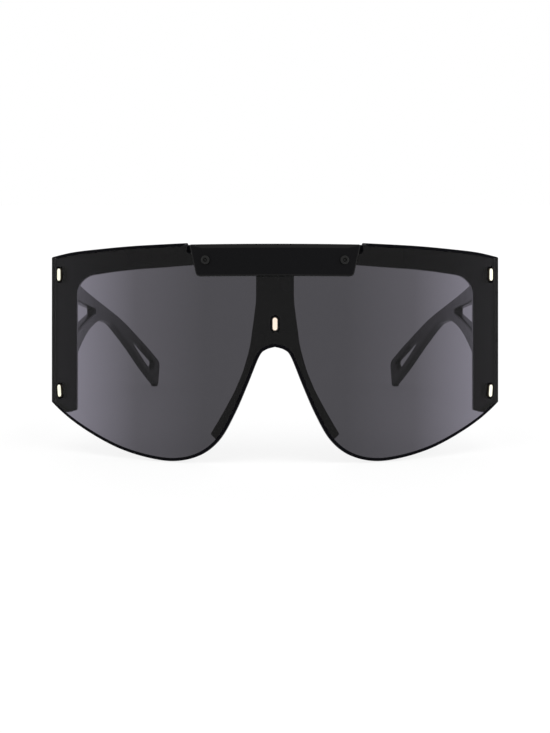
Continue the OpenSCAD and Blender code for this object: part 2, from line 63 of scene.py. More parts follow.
# Front
FRAME_W = 146 * MM
LENS_H = 68 * MM
WRAP_R = 118 * MM
LENS_T = 2 * MM
SEAT_GAP = 0.1 * MM
FRAME_T = 2.6 * MM
FRAME_INSET = 0.4 * MM
NOTCH_DEPTH = 3 * MM
NOTCH_SIDE = 0.5 * MM
BROW_H = 6.7 * MM
PANEL_W = 9.2 * MM
COLUMN_W = 11.8 * MM
ARM_W = 2.8 * MM
ARM_FOOT_W = 3.3 * MM
LUG_L = 8.1 * MM
WINDOW_CORNER_R = 6.5 * MM

# Brow plate, screws and rivets
PLATE_W = 53.2 * MM
PLATE_H = 9.9 * MM
PLATE_T = 1.8 * MM
PLATE_TAPER = 2.2 * MM
PLATE_DROP = 0.6 * MM
PLATE_LOW_R = 1.2 * MM
PLATE_TOP_R = 0.45 * MM
PLATE_SCREW_R = 0.8 * MM
PLATE_SCREW_HEAD_R = 1.45 * MM
PLATE_SCREW_HEAD_H = 0.7 * MM
PLATE_SCREW_INSET = 5.1 * MM
PLATE_SCREW_DROP = 4.9 * MM
RIVET_W = 1.7 * MM
RIVET_H = 4.2 * MM
RIVET_PROUD = 0.3 * MM
RIVET_GROOVE = 0.3 * MM
RIVET_DEPTH = 1.8 * MM
RIVET_SIDE = 3.7 * MM
RIVET_LOW_SIDE = 3.9 * MM
RIVET_DROP = 8.7 * MM
RIVET_RISE = 4.2 * MM
RIVET_TILT = math.radians(5)
BRIDGE_RIVET_RISE = 7.1 * MM

# Nose pads
PAD_DEPTH = 6.5 * MM
PAD_T = 1.5 * MM
PAD_SPLAY = 1.4 * MM

# Temples
TEMPLE_L = 130 * MM
EAR_GAP = 97 * MM
TEMPLE_T = 3.4 * MM
TIP_T = 2.2 * MM
ROOT_H = 35 * MM
TEMPLE_DROP = 7.3 * MM
TEMPLE_STRAIGHT = 10 * MM

# Hinges
LEAF_T = 0.8 * MM
LEAF_L = 6.4 * MM
LEAF_H = 12 * MM
KNUCKLE_R = 1.15 * MM
KNUCKLE_H = 1.7 * MM
KNUCKLES = 5
HINGE_GAP = 0.15 * MM
AXLE_R = 0.6 * MM
HINGE_SHARE = 0.44
LEAF_SCREW_SHARE = 0.6
LEAF_SCREW_R = 0.5 * MM
LEAF_SCREW_HEAD_R = 0.9 * MM
LEAF_SCREW_HEAD_H = 0.3 * MM

# Outlines as shares, the same as the solids': the lens's right half by half its width and its height
TOP_EDGE = [(0.375, 1), (0.48, 0.997), (0.615, 0.993), (0.755, 0.9855), (0.9, 0.975), (1.02, 0.954)]
SIDE_CORNER = 0.256
LOWER_START = (1.02, 0.025)
LOWER_EDGE = [(0.94, 0.209), (0.826, 0.13), (0.685, 0.056), (0.547, 0.013), (0.426, 0), (0.32, 0.028)]
NOSE = [(0.236, 0.1), (0.17, 0.222), (0.115, 0.356), (0.068, 0.478), (0.04, 0.51)]
NOSE_TOP = 0.523
COLUMN_SIDE = [(1, 0.88), (1, 0.75), (1.07, 0.685), (1.2, 0.6), (1.375, 0.507)]
WINDOW_TOP = [(0.3, 0.134), (0.34, 0), (0.47, 0.085), (0.6, 0.15), (0.7, 0.235), (0.765, 0.315)]
PANEL_TOP = 0.45
PANEL_BEND = 0.12
PANEL_FOOT = (0.031, 0.055)
ARM_END = (0.2, 0.6)
# The temple's side outline by its length and its root's height, from the hinge axis
TEMPLE_UPPER = [(0, 1), (0.204, 0.912), (0.464, 0.778), (0.678, 0.618), (0.865, 0.377), (0.98, 0.185)]
TEMPLE_LOWER = [
    (0.965, -0.124), (0.888, 0.03), (0.745, 0.317), (0.605, 0.533), (0.523, 0.583),
    (0.44, 0.583), (0.304, 0.459), (0.143, 0.223), (0, 0),
]
TIP_TOP, TIP_TOP_R = (1, 0.145), 3 * MM
TIP_LOW, TIP_LOW_R = (0.983, -0.217), 1.6 * MM
HOLE = [(0.085, 0.773), (0.085, 0.397), (0.43, 0.696)]
HOLE_R = (2 * MM, 2 * MM, 0.9 * MM)
SLOT = [(0.754, 0.41), (0.846, 0.332), (0.96, 0.139), (0.932, 0.04)]
SLOT_R = (0.4 * MM, 8 * MM, 1 * MM, 1 * MM)

# How finely outlines and bends are cut
CURVE_STEPS = 8
CORNER_STEPS = 8
BEVEL_STEPS = 4
BEND_STEP = 1.5 * MM
# Where walls turn from square to the lens to straight back, and back again at its ends
SQUARE_UNTIL = 23.5 * MM
STRAIGHT_UNTIL = 0.93
STRAIGHT_FADE = 2.5 * MM
# A mitre grows no longer than its offset divided by this, and closer points than this are one
MITRE_LIMIT = 0.3
SAME_POINT = 0.01 * MM
# The dark rims of the lens and the plate, painted shade along their edges: their full widths, how far
# they reach past the bevel at a corner, and how fast they widen once this far from it
LENS_RIM_W = 1.0 * MM
PLATE_RIM_W = 1.25 * MM
RIM_PAST_BEVEL = 0.03 * MM
RIM_GROWTH = 0.4
RIM_NARROW_L = 0.8 * MM
PLATE_TOP_POINT = 4 * MM
# Small rounded edges: a rivet's rim and foot, and a hinge leaf; and how far the lug's root reaches
RIVET_BEVEL, RIVET_FOOT_BEVEL = 0.14 * MM, 0.05 * MM
LEAF_EDGE = 0.12 * MM
LUG_ROOT_L = 1.9 * MM
# Star recesses: their points and how far these stand out, and the steps of a head's dome
STAR_POINTS = 6
STAR_SHARE = 0.14
DOME_STEPS = 7
# Where nearly all values of a noise texture lie
NOISE_LOW, NOISE_HIGH = 0.3, 0.7

HALF_W = FRAME_W / 2
HALF_ANGLE = math.asin(HALF_W / WRAP_R)
FRAME_R = WRAP_R - LENS_T - SEAT_GAP
FRAME_BACK_R = FRAME_R - FRAME_T
PLATE_FACE_R = WRAP_R + SEAT_GAP + PLATE_T
SIDE_CORNER_Z = SIDE_CORNER * LENS_H
NOSE_TOP_Z = NOSE_TOP * LENS_H
WINDOW_TOP_Z = LENS_H - BROW_H
PANEL_X = HALF_W - PANEL_W
NOTCH_HALF_W = PLATE_W / 2 + NOTCH_SIDE
PLATE_TOP_Z = LENS_H - PLATE_DROP
PLATE_SCREW_Z = PLATE_TOP_Z - PLATE_SCREW_DROP
PLATE_SCREW_ANGLE = math.asin((PLATE_W / 2 - PLATE_SCREW_INSET) / PLATE_FACE_R)
RIVET_UPPER_ANGLE = HALF_ANGLE - RIVET_SIDE / WRAP_R
RIVET_LOWER_ANGLE = HALF_ANGLE - RIVET_LOW_SIDE / WRAP_R
LUG_LEDGE = FRAME_T / 8
TEMPLE_OUT_X = (FRAME_R - LUG_LEDGE) * math.sin(HALF_ANGLE)
TEMPLE_IN_X = TEMPLE_OUT_X - TEMPLE_T
AXIS_X = TEMPLE_IN_X - KNUCKLE_R - HINGE_GAP
AXIS_Y = WRAP_R - FRAME_R * math.cos(HALF_ANGLE) + LUG_L
ROOT_TOP_Z = LENS_H - TEMPLE_DROP
ROOT_LOW_Z = ROOT_TOP_Z - ROOT_H
HINGE_Z = ROOT_TOP_Z - ROOT_H * HINGE_SHARE
BARREL_H = KNUCKLES * KNUCKLE_H + (KNUCKLES - 1) * HINGE_GAP
BEND_Y = AXIS_Y + TEMPLE_STRAIGHT
BEND_L = TEMPLE_L - TEMPLE_STRAIGHT

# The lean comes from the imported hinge: its axis is the upright Z
HINGE = next(j for j in frame["joints"] if j["name"] == "temple_fold_right")
LEAN = Matrix.Rotation(-math.atan2(HINGE["axis"][1], HINGE["axis"][2]), 4, "X")
UPRIGHT = Matrix.Translation(Vector(HINGE["pos_m"]) - LEAN @ Vector((AXIS_X, AXIS_Y, HINGE_Z))) @ LEAN
MIRROR = Matrix.Diagonal((-1, 1, 1, 1))
SIDES = (("left", MIRROR), ("right", Matrix.Identity(4)))


# Outlines


def at_size(shares, w, h):
    return [Vector((x * w, y * h)) for x, y in shares]


def smooth(pts):
    """The smooth curve through all points."""
    last, out = len(pts) - 1, []
    for i in range(last):
        a, b, c, d = pts[max(i - 1, 0)], pts[i], pts[i + 1], pts[min(i + 2, last)]
        for j in range(CURVE_STEPS):
            t = j / CURVE_STEPS
            out.append(
                b + (c - a) * t / 2 + (2 * a - 5 * b + 4 * c - d) * t**2 / 2
                + (3 * b - a - 3 * c + d) * t**3 / 2
            )
    return [*out, pts[-1]]


def inset_path(pts, d):
    """Points moved sideways by d, to the right of the way they run."""
    out = []
    for i, p in enumerate(pts):
        along = (pts[min(i + 1, len(pts) - 1)] - pts[max(i - 1, 0)]).normalized()
        out.append(p + d * Vector((along.y, -along.x)))
    return out


def corner(x, y, r):
    """A point of an outline that is to be rounded."""
    return Vector((x, y, r))


def rounded(pts):
    """A closed outline in which every corner() is rounded."""
    out = []
    for i, q in enumerate(pts):
        if len(q) == 2:
            out.append(q)
            continue
        p, r = q.xy, q.z
        u = (pts[i - 1].xy - p).normalized()
        v = (pts[(i + 1) % len(pts)].xy - p).normalized()
        half = u.angle(v) / 2
        centre = p + (u + v).normalized() * r / math.sin(half)
        start, end = (p + w * r / math.tan(half) - centre for w in (u, v))
        turn = math.atan2(start.cross(end), start.dot(end))
        for k in range(CORNER_STEPS + 1):
            out.append(centre + Matrix.Rotation(turn * k / CORNER_STEPS, 2) @ start)
    return out


def mirrored(pts):
    return [Vector((-p.x, *p[1:])) for p in reversed(pts)]


def crossing(a, b, path):
    """Where the line from a to b meets a path, and the index of the path's next point."""
    for i in range(len(path) - 1):
        hit = intersect_line_line_2d(a.xy, b.xy, path[i], path[i + 1])
        if hit:
            return hit, i + 1
    raise ValueError("the lines do not meet")


def between_sides(path, x):
    """The stretch of a path that comes in past the side at x, cut there."""
    side = Vector((x, -LENS_H)), Vector((x, 2 * LENS_H))
    hit, i = crossing(*side, path)
    return [hit, *path[i:]] if path[0].x > x else [*path[:i], hit]


def oval(w, h, centre=Vector((0, 0)), tilt=0.0):
    """Outline of an upright oval, turned by tilt."""
    r, turn = w / 2, Matrix.Rotation(tilt, 2)
    pts = []
    for end in (1, -1):
        for k in range(CORNER_STEPS * 2 + 1):
            a = math.pi * k / (CORNER_STEPS * 2)
            pts.append(end * Vector((r * math.cos(a), (h - w) / 2 + r * math.sin(a))))
    return [centre + turn @ p for p in pts]


def circle(r, centre):
    return [
        centre + r * Vector((math.cos(a), math.sin(a)))
        for a in (math.tau * k / (4 * CORNER_STEPS) for k in range(4 * CORNER_STEPS))
    ]


NOSE_PTS = at_size(NOSE, HALF_W, LENS_H)
TOP_CURVE = smooth(at_size(TOP_EDGE, HALF_W, LENS_H))
LOWER_CURVE = smooth([
    Vector((LOWER_START[0] * HALF_W, SIDE_CORNER_Z + LOWER_START[1] * HALF_W)),
    *at_size(LOWER_EDGE, HALF_W, LENS_H),
    *NOSE_PTS,
    Vector((0, NOSE_TOP_Z)),
])


def lens_outline():
    """The lens seen from the front, with the notch behind the brow plate."""
    corner_r, notch_r = 0.5 * MM, 0.35 * MM
    notch_z = LENS_H - NOTCH_DEPTH
    top = between_sides(TOP_CURVE, HALF_W)
    low = between_sides(LOWER_CURVE, HALF_W)
    half = [
        corner(NOTCH_HALF_W, notch_z, notch_r),
        corner(NOTCH_HALF_W, LENS_H, notch_r),
        *[p for p in top[:-1] if NOTCH_HALF_W + 2 * notch_r < p.x < HALF_W - 2 * corner_r],
        corner(*top[-1], corner_r),
        corner(*low[0], corner_r),
        *low[1:],
    ]
    return rounded(half + mirrored(half[:-1]))


def frame_outline():
    """The frame behind the lens: brow, panels, column and nose arms, open below its windows."""
    end_x = FRAME_R * math.sin(HALF_ANGLE)
    edge = inset_path(TOP_CURVE + LOWER_CURVE, FRAME_INSET)
    split = len(TOP_CURVE)
    top = between_sides(edge[:split], end_x)
    low = between_sides(edge[split:], end_x)
    end_r, foot_r, edge_r = 0.6 * MM, ARM_W / 4, 0.45 * MM

    foot = corner(PANEL_X, SIDE_CORNER_Z - PANEL_FOOT[0] * LENS_H, foot_r)
    foot_end = Vector((PANEL_X + PANEL_BEND * HALF_W, SIDE_CORNER_Z - PANEL_FOOT[1] * LENS_H))
    foot_hit, foot_at = crossing(foot, foot_end, low)

    arm = inset_path(NOSE_PTS, ARM_W)
    arm_foot = inset_path(NOSE_PTS, ARM_FOOT_W)
    inner = smooth(at_size(COLUMN_SIDE, COLUMN_W / 2, LENS_H) + [arm[2], arm_foot[1], arm_foot[0]])
    arm_low = NOSE_PTS[0] - ARM_W * Vector(ARM_END)
    arm_hit, arm_at = crossing(arm_foot[0], arm_low, low)

    half = [
        *top[:-1],
        corner(*top[-1], end_r),
        corner(*low[0], end_r),
        *low[1 : foot_at - 1],
        corner(*foot_hit, edge_r),
        foot,
        corner(PANEL_X, WINDOW_TOP_Z - PANEL_TOP * BROW_H, WINDOW_CORNER_R),
        *[Vector((x * HALF_W, WINDOW_TOP_Z - y * BROW_H)) for x, y in reversed(WINDOW_TOP)],
        corner(COLUMN_W / 2, WINDOW_TOP_Z - WINDOW_TOP[0][1] * BROW_H, foot_r),
        *inner[2:-1],
        corner(*inner[-1], foot_r),
        corner(*arm_hit, edge_r),
        *low[arm_at + 1 :],
    ]
    return rounded(half + mirrored(half[:-1]))


def temple_outline():
    """The temple seen from the side, behind the hinge axis and above ROOT_LOW_Z."""
    root_r, root_x = 0.9 * MM, HINGE_GAP / 2
    upper = smooth(at_size(TEMPLE_UPPER, TEMPLE_L, ROOT_H))
    lower = smooth(at_size(TEMPLE_LOWER, TEMPLE_L, ROOT_H))
    return rounded([
        corner(root_x, ROOT_H, root_r),
        *upper[1:],
        corner(TIP_TOP[0] * TEMPLE_L, TIP_TOP[1] * ROOT_H, TIP_TOP_R),
        corner(TIP_LOW[0] * TEMPLE_L, TIP_LOW[1] * ROOT_H, TIP_LOW_R),
        *lower[:-1],
        corner(root_x, 0, root_r),
    ])


def rounded_shares(shares, radii):
    pts = at_size(shares, TEMPLE_L, ROOT_H)
    return rounded([corner(*p, r) for p, r in zip(pts, radii)])


# Meshes


def area(loop):
    return sum(a.x * b.y - b.x * a.y for a, b in zip(loop, loop[1:] + loop[:1])) / 2


def wound(loop, way):
    """The loop run counterclockwise if way is 1, else clockwise, without doubled points."""
    loop = [p for i, p in enumerate(loop) if (p - loop[i - 1]).length > SAME_POINT]
    return loop if area(loop) * way > 0 else loop[::-1]


def offset_loop(loop, d):
    """The loop moved to its left by d, which may also be a function of the point."""
    out = []
    for i, p in enumerate(loop):
        u = (p - loop[i - 1]).normalized()
        v = (loop[(i + 1) % len(loop)] - p).normalized()
        left = Vector((-u.y, u.x))
        side = (left + Vector((-v.y, v.x))).normalized()
        out.append(p + side * (d(p) if callable(d) else d) / max(side.dot(left), MITRE_LIMIT))
    return out


def plate(outline, holes, depth, bevel, step=BEND_STEP, back_bevel=None, rim=None):
    """A flat plate in a bmesh: X and Y as the outline, Z from its face at 0 to its back at depth,
    with rounded edges and cut across X every step, so that it can be bent. Its faces are 0 in
    material, its edges 1, and so is the outer band of its face, rim(point) wide from the outline.
    Also returns each vertex's normal."""
    back_bevel = bevel if back_bevel is None else back_bevel
    loops = [wound(outline, 1)] + [wound(h, -1) for h in holes]
    rings = []
    for z0, b, way in ((0, bevel, 1), (depth, back_bevel, -1)):
        arc = [math.pi / 2 * k / BEVEL_STEPS for k in range(BEVEL_STEPS + 1)]
        rings.append([(b * (1 - math.sin(a)), z0 + way * b * (1 - math.cos(a))) for a in arc])
    rings = rings[0] + rings[1][::-1]

    bm = bmesh.new()
    caps = {0: [], len(rings) - 1: []}
    for loop in loops:
        rows = []
        for k, (inset, z) in enumerate(rings):
            ring = [bm.verts.new((*p, z)) for p in offset_loop(loop, inset)]
            rows.append(ring)
            if k in caps:
                caps[k].append(ring)
        for a, b in zip(rows, rows[1:]):
            for i in range(len(loop)):
                j = (i + 1) % len(loop)
                bm.faces.new((a[i], a[j], b[j], b[i])).material_index = 1
        if rim and loop is loops[0]:
            band = [bm.verts.new((*p, 0)) for p in offset_loop(loop, rim)]
            for i in range(len(loop)):
                j = (i + 1) % len(loop)
                bm.faces.new((band[i], band[j], rows[0][j], rows[0][i])).material_index = 1
            caps[0][0] = band
    for parts in caps.values():
        flat = [v for ring in parts for v in ring]
        for tri in tessellate_polygon([[v.co.xy.to_3d() for v in ring] for ring in parts]):
            bm.faces.new([flat[i] for i in tri])

    xs = [p.x for p in loops[0]]
    for k in range(math.floor(min(xs) / step) + 1, math.ceil(max(xs) / step)):
        geom = bm.verts[:] + bm.edges[:] + bm.faces[:]
        at = (k * step, 0, 0)
        bmesh.ops.bisect_plane(bm, geom=geom, dist=1e-4 * MM, plane_co=at, plane_no=(1, 0, 0))
    face_out(bm)
    normals = []
    for v in bm.verts:
        share = v.co.z / depth
        if share < 1e-6:
            normals.append(Vector((0, 0, -1)))
        elif share > 1 - 1e-6:
            normals.append(Vector((0, 0, 1)))
        else:
            normals.append(v.normal.copy())
    return bm, normals


def face_out(bm):
    """Turns the faces of one closed shell outwards."""
    bmesh.ops.recalc_face_normals(bm, faces=bm.faces[:])
    if bm.calc_volume(signed=True) < 0:
        bmesh.ops.reverse_faces(bm, faces=bm.faces[:])
    bm.normal_update()


def bend(bm, normals, place):
    """Moves each vertex to place(point), and turns its normal with the space round it."""
    tiny = 1e-3 * MM
    out = []
    for v, n in zip(bm.verts, normals):
        at = v.co.copy()
        here = place(at)
        axes = [(place(at + tiny * e) - here) / tiny for e in Matrix.Identity(3)]
        turn = Matrix(axes).inverted_safe()
        out.append((turn @ n).normalized())
        v.co = here
    return out


def make(name, parts, mats, body, nodes):
    """One object from (bmesh, normals) parts that are given upright. It rides on body, in place of
    nodes."""
    mesh = bpy.data.meshes.new(name)
    whole, all_normals = bmesh.new(), []
    for bm, normals in parts:
        face_out(bm)
        part = bpy.data.meshes.new("part")
        bm.to_mesh(part)
        whole.from_mesh(part)
        bpy.data.meshes.remove(part)
        bm.free()
        all_normals += normals
    whole.transform(UPRIGHT)
    for f in whole.faces:
        f.smooth = True
    whole.to_mesh(mesh)
    whole.free()
    turn = UPRIGHT.to_3x3()
    mesh.normals_split_custom_set_from_vertices([turn @ n for n in all_normals])
    for m in mats:
        mesh.materials.append(m)
    obj = bpy.data.objects.new(name, mesh)
    bpy.context.scene.collection.objects.link(obj)
    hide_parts(*nodes)
    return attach(obj, body)


def moved(part, matrix):
    """A (bmesh, normals) part moved by a matrix."""
    bm, normals = part
    bm.transform(matrix)
    turn = matrix.to_3x3().inverted().transposed()
    return bm, [(turn @ n).normalized() for n in normals]


def to_arc(outline, r):
    """An outline seen from the front, laid out flat from a face of radius r."""
    return [Vector((math.asin(p.x / r) * r, p.y)) for p in outline]


def wrap(r):
    """Bends a plate round the face, its front at radius r. Its walls run straight back, but turn to
    the bend's centre in the middle, where the plate screws are, and at the ends with their rivets."""

    def place(p):
        a = p.x / r
        out = abs(a) * WRAP_R
        middle = (out - SQUARE_UNTIL) / STRAIGHT_FADE
        end = (STRAIGHT_UNTIL * HALF_ANGLE * WRAP_R - out) / STRAIGHT_FADE
        straight = min(max(min(middle, end), 0), 1)
        a += straight * (math.asin(r * math.sin(a) / (r - p.z)) - a)
        return Vector(((r - p.z) * math.sin(a), WRAP_R - (r - p.z) * math.cos(a), p.y))

    return place


def at_front(angle, z, tilt=0.0):
    """A place on the lens's face: local X runs sideways, Y up and Z out of the lens."""
    return (
        Matrix.Translation((0, WRAP_R, z))
        @ Matrix.Rotation(angle, 4, "Z")
        @ Matrix.Translation((0, -WRAP_R, 0))
        @ Matrix.Rotation(math.pi / 2, 4, "X")
        @ Matrix.Rotation(tilt, 4, "Z")
    )


def rings(rows):
    """A tube through rows of points, all of one length, closed by a fan at both ends."""
    bm = bmesh.new()
    rows = [[bm.verts.new(p) for p in row] for row in rows]
    n = len(rows[0])
    for a, b in zip(rows, rows[1:]):
        for i in range(n):
            bm.faces.new((a[i], a[(i + 1) % n], b[(i + 1) % n], b[i]))
    for row in (rows[0], rows[-1]):
        bm.faces.new(row)
    face_out(bm)
    return bm


def with_normals(bm):
    """Normals weighted by face area, so that flats stay flat beside small rounded edges."""
    normals = []
    for v in bm.verts:
        total = sum((f.normal * f.calc_area() for f in v.link_faces), Vector())
        normals.append(total.normalized())
    return bm, normals


def lathe(profile, lobes=0, lobe_share=0.0, lobed=(), steps=48):
    """A turned piece from (radius, height) pairs. Rows named in lobed get a star's wavy rim."""
    rows = []
    for k, (r, z) in enumerate(profile):
        row = []
        for i in range(steps):
            a = math.tau * i / steps
            wave = 1 + (lobe_share * math.cos(lobes * a) if k in lobed else 0)
            row.append(Vector((r * wave * math.cos(a), r * wave * math.sin(a), z)))
        rows.append(row)
    return with_normals(rings(rows))


# Materials


def material(name, colour, roughness, metallic=0.0, **sockets):
    """A Principled material, its node tree and its shader."""
    m = bpy.data.materials.new(name)
    m.use_nodes = True
    nt = m.node_tree
    p = nt.nodes["Principled BSDF"]
    p.inputs["Base Color"].default_value = (*colour, 1)
    p.inputs["Roughness"].default_value = roughness
    p.inputs["Metallic"].default_value = metallic
    for key, value in sockets.items():
        p.inputs[key.replace("_", " ")].default_value = value
    return m, nt, p


def noise(nt, scale, detail=3.0, stretch=(1, 1, 1)):
    """Noise in object space, its scale in features per metre."""
    coords = nt.nodes.new("ShaderNodeTexCoord")
    mapping = nt.nodes.new("ShaderNodeMapping")
    mapping.inputs["Scale"].default_value = stretch
    tex = nt.nodes.new("ShaderNodeTexNoise")
    tex.inputs["Scale"].default_value = scale
    tex.inputs["Detail"].default_value = detail
    nt.links.new(coords.outputs["Object"], mapping.inputs["Vector"])
    nt.links.new(mapping.outputs["Vector"], tex.inputs["Vector"])
    return tex.outputs["Fac"]


def ranged(nt, value, *numbers):
    """A value mapped from one span onto another, given as four numbers."""
    node = nt.nodes.new("ShaderNodeMapRange")
    for socket, number in zip(("From Min", "From Max", "To Min", "To Max"), numbers):
        node.inputs[socket].default_value = number
    nt.links.new(value, node.inputs["Value"])
    return node.outputs["Result"]


def spread(nt, value, low, high):
    """A noise value mapped onto low to high."""
    return ranged(nt, value, NOISE_LOW, NOISE_HIGH, low, high)


def tinted(nt, value, low, high):
    """A colour between low and high by a noise value."""
    mix = nt.nodes.new("ShaderNodeMix")
    mix.data_type = "RGBA"
    mix.inputs["A"].default_value = (*low, 1)
    mix.inputs["B"].default_value = (*high, 1)
    nt.links.new(spread(nt, value, 0, 1), mix.inputs["Factor"])
    return mix.outputs["Result"]


def bumped(nt, shader, value, strength, distance):
    bump = nt.nodes.new("ShaderNodeBump")
    bump.inputs["Strength"].default_value = strength
    bump.inputs["Distance"].default_value = distance
    nt.links.new(value, bump.inputs["Height"])
    nt.links.new(bump.outputs["Normal"], shader.inputs["Normal"])


def ramp(nt, value, stops):
    """A colour ramp over value, from (position, colour) stops."""
    node = nt.nodes.new("ShaderNodeValToRGB")
    elements = node.color_ramp.elements
    while len(elements) < len(stops):
        elements.new(1.0)
    for element, (at, colour) in zip(elements, stops):
        element.position = at
        element.color = (*colour, 1)
    nt.links.new(value, node.inputs["Fac"])
    return node.outputs["Color"]


def math_node(nt, operation, *values):
    node = nt.nodes.new("ShaderNodeMath")
    node.operation = operation
    for socket, value in zip(node.inputs, values):
        if isinstance(value, (int, float)):
            socket.default_value = value
        else:
            nt.links.new(value, socket)
    return node.outputs["Value"]


def smoke_lens():
    """Dark polycarbonate, lighter out towards the temples. Its low IOR gives it the faint shine of a
    coated lens."""
    m, nt, p = material("smoke_lens", (0.06, 0.058, 0.07), 0.0, Transmission_Weight=1.0, IOR=1.25)
    axes = nt.nodes.new("ShaderNodeSeparateXYZ")
    nt.links.new(nt.nodes.new("ShaderNodeTexCoord").outputs["Object"], axes.inputs["Vector"])
    out = math_node(nt, "DIVIDE", math_node(nt, "ABSOLUTE", axes.outputs["X"]), HALF_W)
    stops = ((0.3, (0.06, 0.058, 0.066)), (0.6, (0.09, 0.086, 0.1)), (0.9, (0.2, 0.19, 0.23)))
    nt.links.new(ramp(nt, out, stops), p.inputs["Base Color"])
    return m


def lens_rim_painted_shade():
    """The lens's polished rim and a band along its outline, painted black: painted shade for the dark
    line where light runs through the edge sideways.
    """
    m, nt, p = material("lens_rim_painted_shade", (0.002, 0.002, 0.003), 0.15, Specular_IOR_Level=0.03)
    nt.links.new(spread(nt, noise(nt, 900), 0.12, 0.2), p.inputs["Roughness"])
    return m


def frame_black():
    """Injection-moulded gloss black: faint flow in its shine, and almost no texture."""
    m, nt, p = material("frame_black", (0.008, 0.008, 0.009), 0.2, Specular_IOR_Level=0.3)
    tint = tinted(nt, noise(nt, 60, 4), (0.006, 0.006, 0.007), (0.010, 0.010, 0.011))
    nt.links.new(tint, p.inputs["Base Color"])
    nt.links.new(spread(nt, noise(nt, 220, 5), 0.16, 0.26), p.inputs["Roughness"])
    bumped(nt, p, noise(nt, 2500, 2), 0.025, 0.02 * MM)
    return m


def frame_edge():
    """The front frame's rounded edges, duller than its faces."""
    m, nt, p = material("frame_edge", (0.008, 0.008, 0.009), 0.24, Specular_IOR_Level=0.2)
    nt.links.new(spread(nt, noise(nt, 220, 5), 0.2, 0.3), p.inputs["Roughness"])
    return m


def plate_black():
    """Satin black enamel on the metal brow plate."""
    m, nt, p = material("plate_black", (0.004, 0.004, 0.0045), 0.3, Specular_IOR_Level=0.05)
    nt.links.new(spread(nt, noise(nt, 400, 5), 0.26, 0.34), p.inputs["Roughness"])
    bumped(nt, p, noise(nt, 4200, 3), 0.15, 0.02 * MM)
    return m


def plate_rim_painted_shade():
    """The plate's rounded edges and a band along its top, painted blacker than its face: painted shade
    along its edges.
    """
    m, nt, p = material("plate_rim_painted_shade", (0.001, 0.001, 0.001), 0.3, Specular_IOR_Level=0.2)
    nt.links.new(spread(nt, noise(nt, 400, 5), 0.26, 0.34), p.inputs["Roughness"])
    return m


def screw_black():
    """Blackened steel."""
    m, nt, p = material("screw_black", (0.004, 0.004, 0.004), 0.15, Specular_IOR_Level=0.2)
    tint = tinted(nt, noise(nt, 1500), (0.003, 0.003, 0.003), (0.006, 0.006, 0.006))
    nt.links.new(tint, p.inputs["Base Color"])
    nt.links.new(spread(nt, noise(nt, 2600), 0.1, 0.2), p.inputs["Roughness"])
    return m


def brushed_gold(name, low, high):
    """Pale gold between two tints, brushed along each rivet."""
    m, nt, p = material(name, high, 0.32, 0.4)
    brushed = noise(nt, 2600, 2, stretch=(6, 6, 0.25))
    nt.links.new(tinted(nt, brushed, low, high), p.inputs["Base Color"])
    nt.links.new(spread(nt, brushed, 0.28, 0.42), p.inputs["Roughness"])
    bumped(nt, p, brushed, 0.2, 0.02 * MM)
    return m


# The corner rivets' gold, whitened for the side light they catch: painted highlight.
def rivet_gold():
    return brushed_gold("rivet_gold", (0.98, 0.94, 0.70), (1.0, 1.0, 0.86))


# The bridge rivet's gold, the same metal tinted darker and warmer than the corners': painted shade.
def rivet_metal_painted_shade():
    return brushed_gold("rivet_metal_painted_shade", (1.0, 0.76, 0.60), (1.0, 0.88, 0.76))


def rivet_side():
    """The rivet's flank down in its groove, painted dark: painted shade in the groove."""
    m, nt, p = material("rivet_side", (0.05, 0.04, 0.028), 0.5, 0.4)
    tint = tinted(nt, noise(nt, 2600), (0.035, 0.028, 0.02), (0.07, 0.056, 0.04))
    nt.links.new(tint, p.inputs["Base Color"])
    return m


def hinge_metal():
    """Nickel-plated hinge, satin and a little mottled."""
    m, nt, p = material("hinge_metal", (0.2, 0.2, 0.205), 0.3, 1.0)
    tint = tinted(nt, noise(nt, 700), (0.17, 0.17, 0.175), (0.23, 0.23, 0.235))
    nt.links.new(tint, p.inputs["Base Color"])
    nt.links.new(spread(nt, noise(nt, 1800, 4), 0.24, 0.38), p.inputs["Roughness"])
    bumped(nt, p, noise(nt, 5200, 2), 0.1, 0.02 * MM)
    return m


def pad_rubber():
    """Soft matt black silicone."""
    m, nt, p = material("pad_rubber", (0.014, 0.014, 0.015), 0.6, Sheen_Weight=0.2)
    tint = tinted(nt, noise(nt, 300), (0.011, 0.011, 0.012), (0.02, 0.02, 0.021))
    nt.links.new(tint, p.inputs["Base Color"])
    bumped(nt, p, noise(nt, 5200, 3), 0.35, 0.03 * MM)
    return m


MATS = {
    f.__name__: f()
    for f in (
        smoke_lens, lens_rim_painted_shade, frame_black, frame_edge, plate_black, plate_rim_painted_shade,
        screw_black, rivet_gold, rivet_metal_painted_shade, rivet_side, hinge_metal, pad_rubber,
    )
}


# Pieces


def plate_screw_holes(r):
    """The plate screws' two holes in a plate laid out flat from radius r."""
    hole_r, out = PLATE_SCREW_R + SEAT_GAP / 2, PLATE_SCREW_ANGLE * r
    return [circle(hole_r, Vector((way * out, PLATE_SCREW_Z))) for way in (-1, 1)]


RIVETS = [
    ("corner_rivet_upper", RIVET_UPPER_ANGLE, LENS_H - RIVET_DROP, 0.0),
    ("corner_rivet_lower", RIVET_LOWER_ANGLE, SIDE_CORNER_Z + RIVET_RISE, -RIVET_TILT),
]
BRIDGE_RIVET_Z = NOSE_TOP_Z + BRIDGE_RIVET_RISE


def rivet_holes():
    """The lens's oval holes, a groove wider than the rivets."""
    w, h = RIVET_W + 2 * RIVET_GROOVE, RIVET_H + 2 * RIVET_GROOVE
    out = [oval(w, h, Vector((0, BRIDGE_RIVET_Z)))]
    for _, angle, z, tilt in RIVETS:
        for way in (-1, 1):
            out.append(oval(w, h, Vector((way * angle * WRAP_R, z)), way * tilt))
    return out


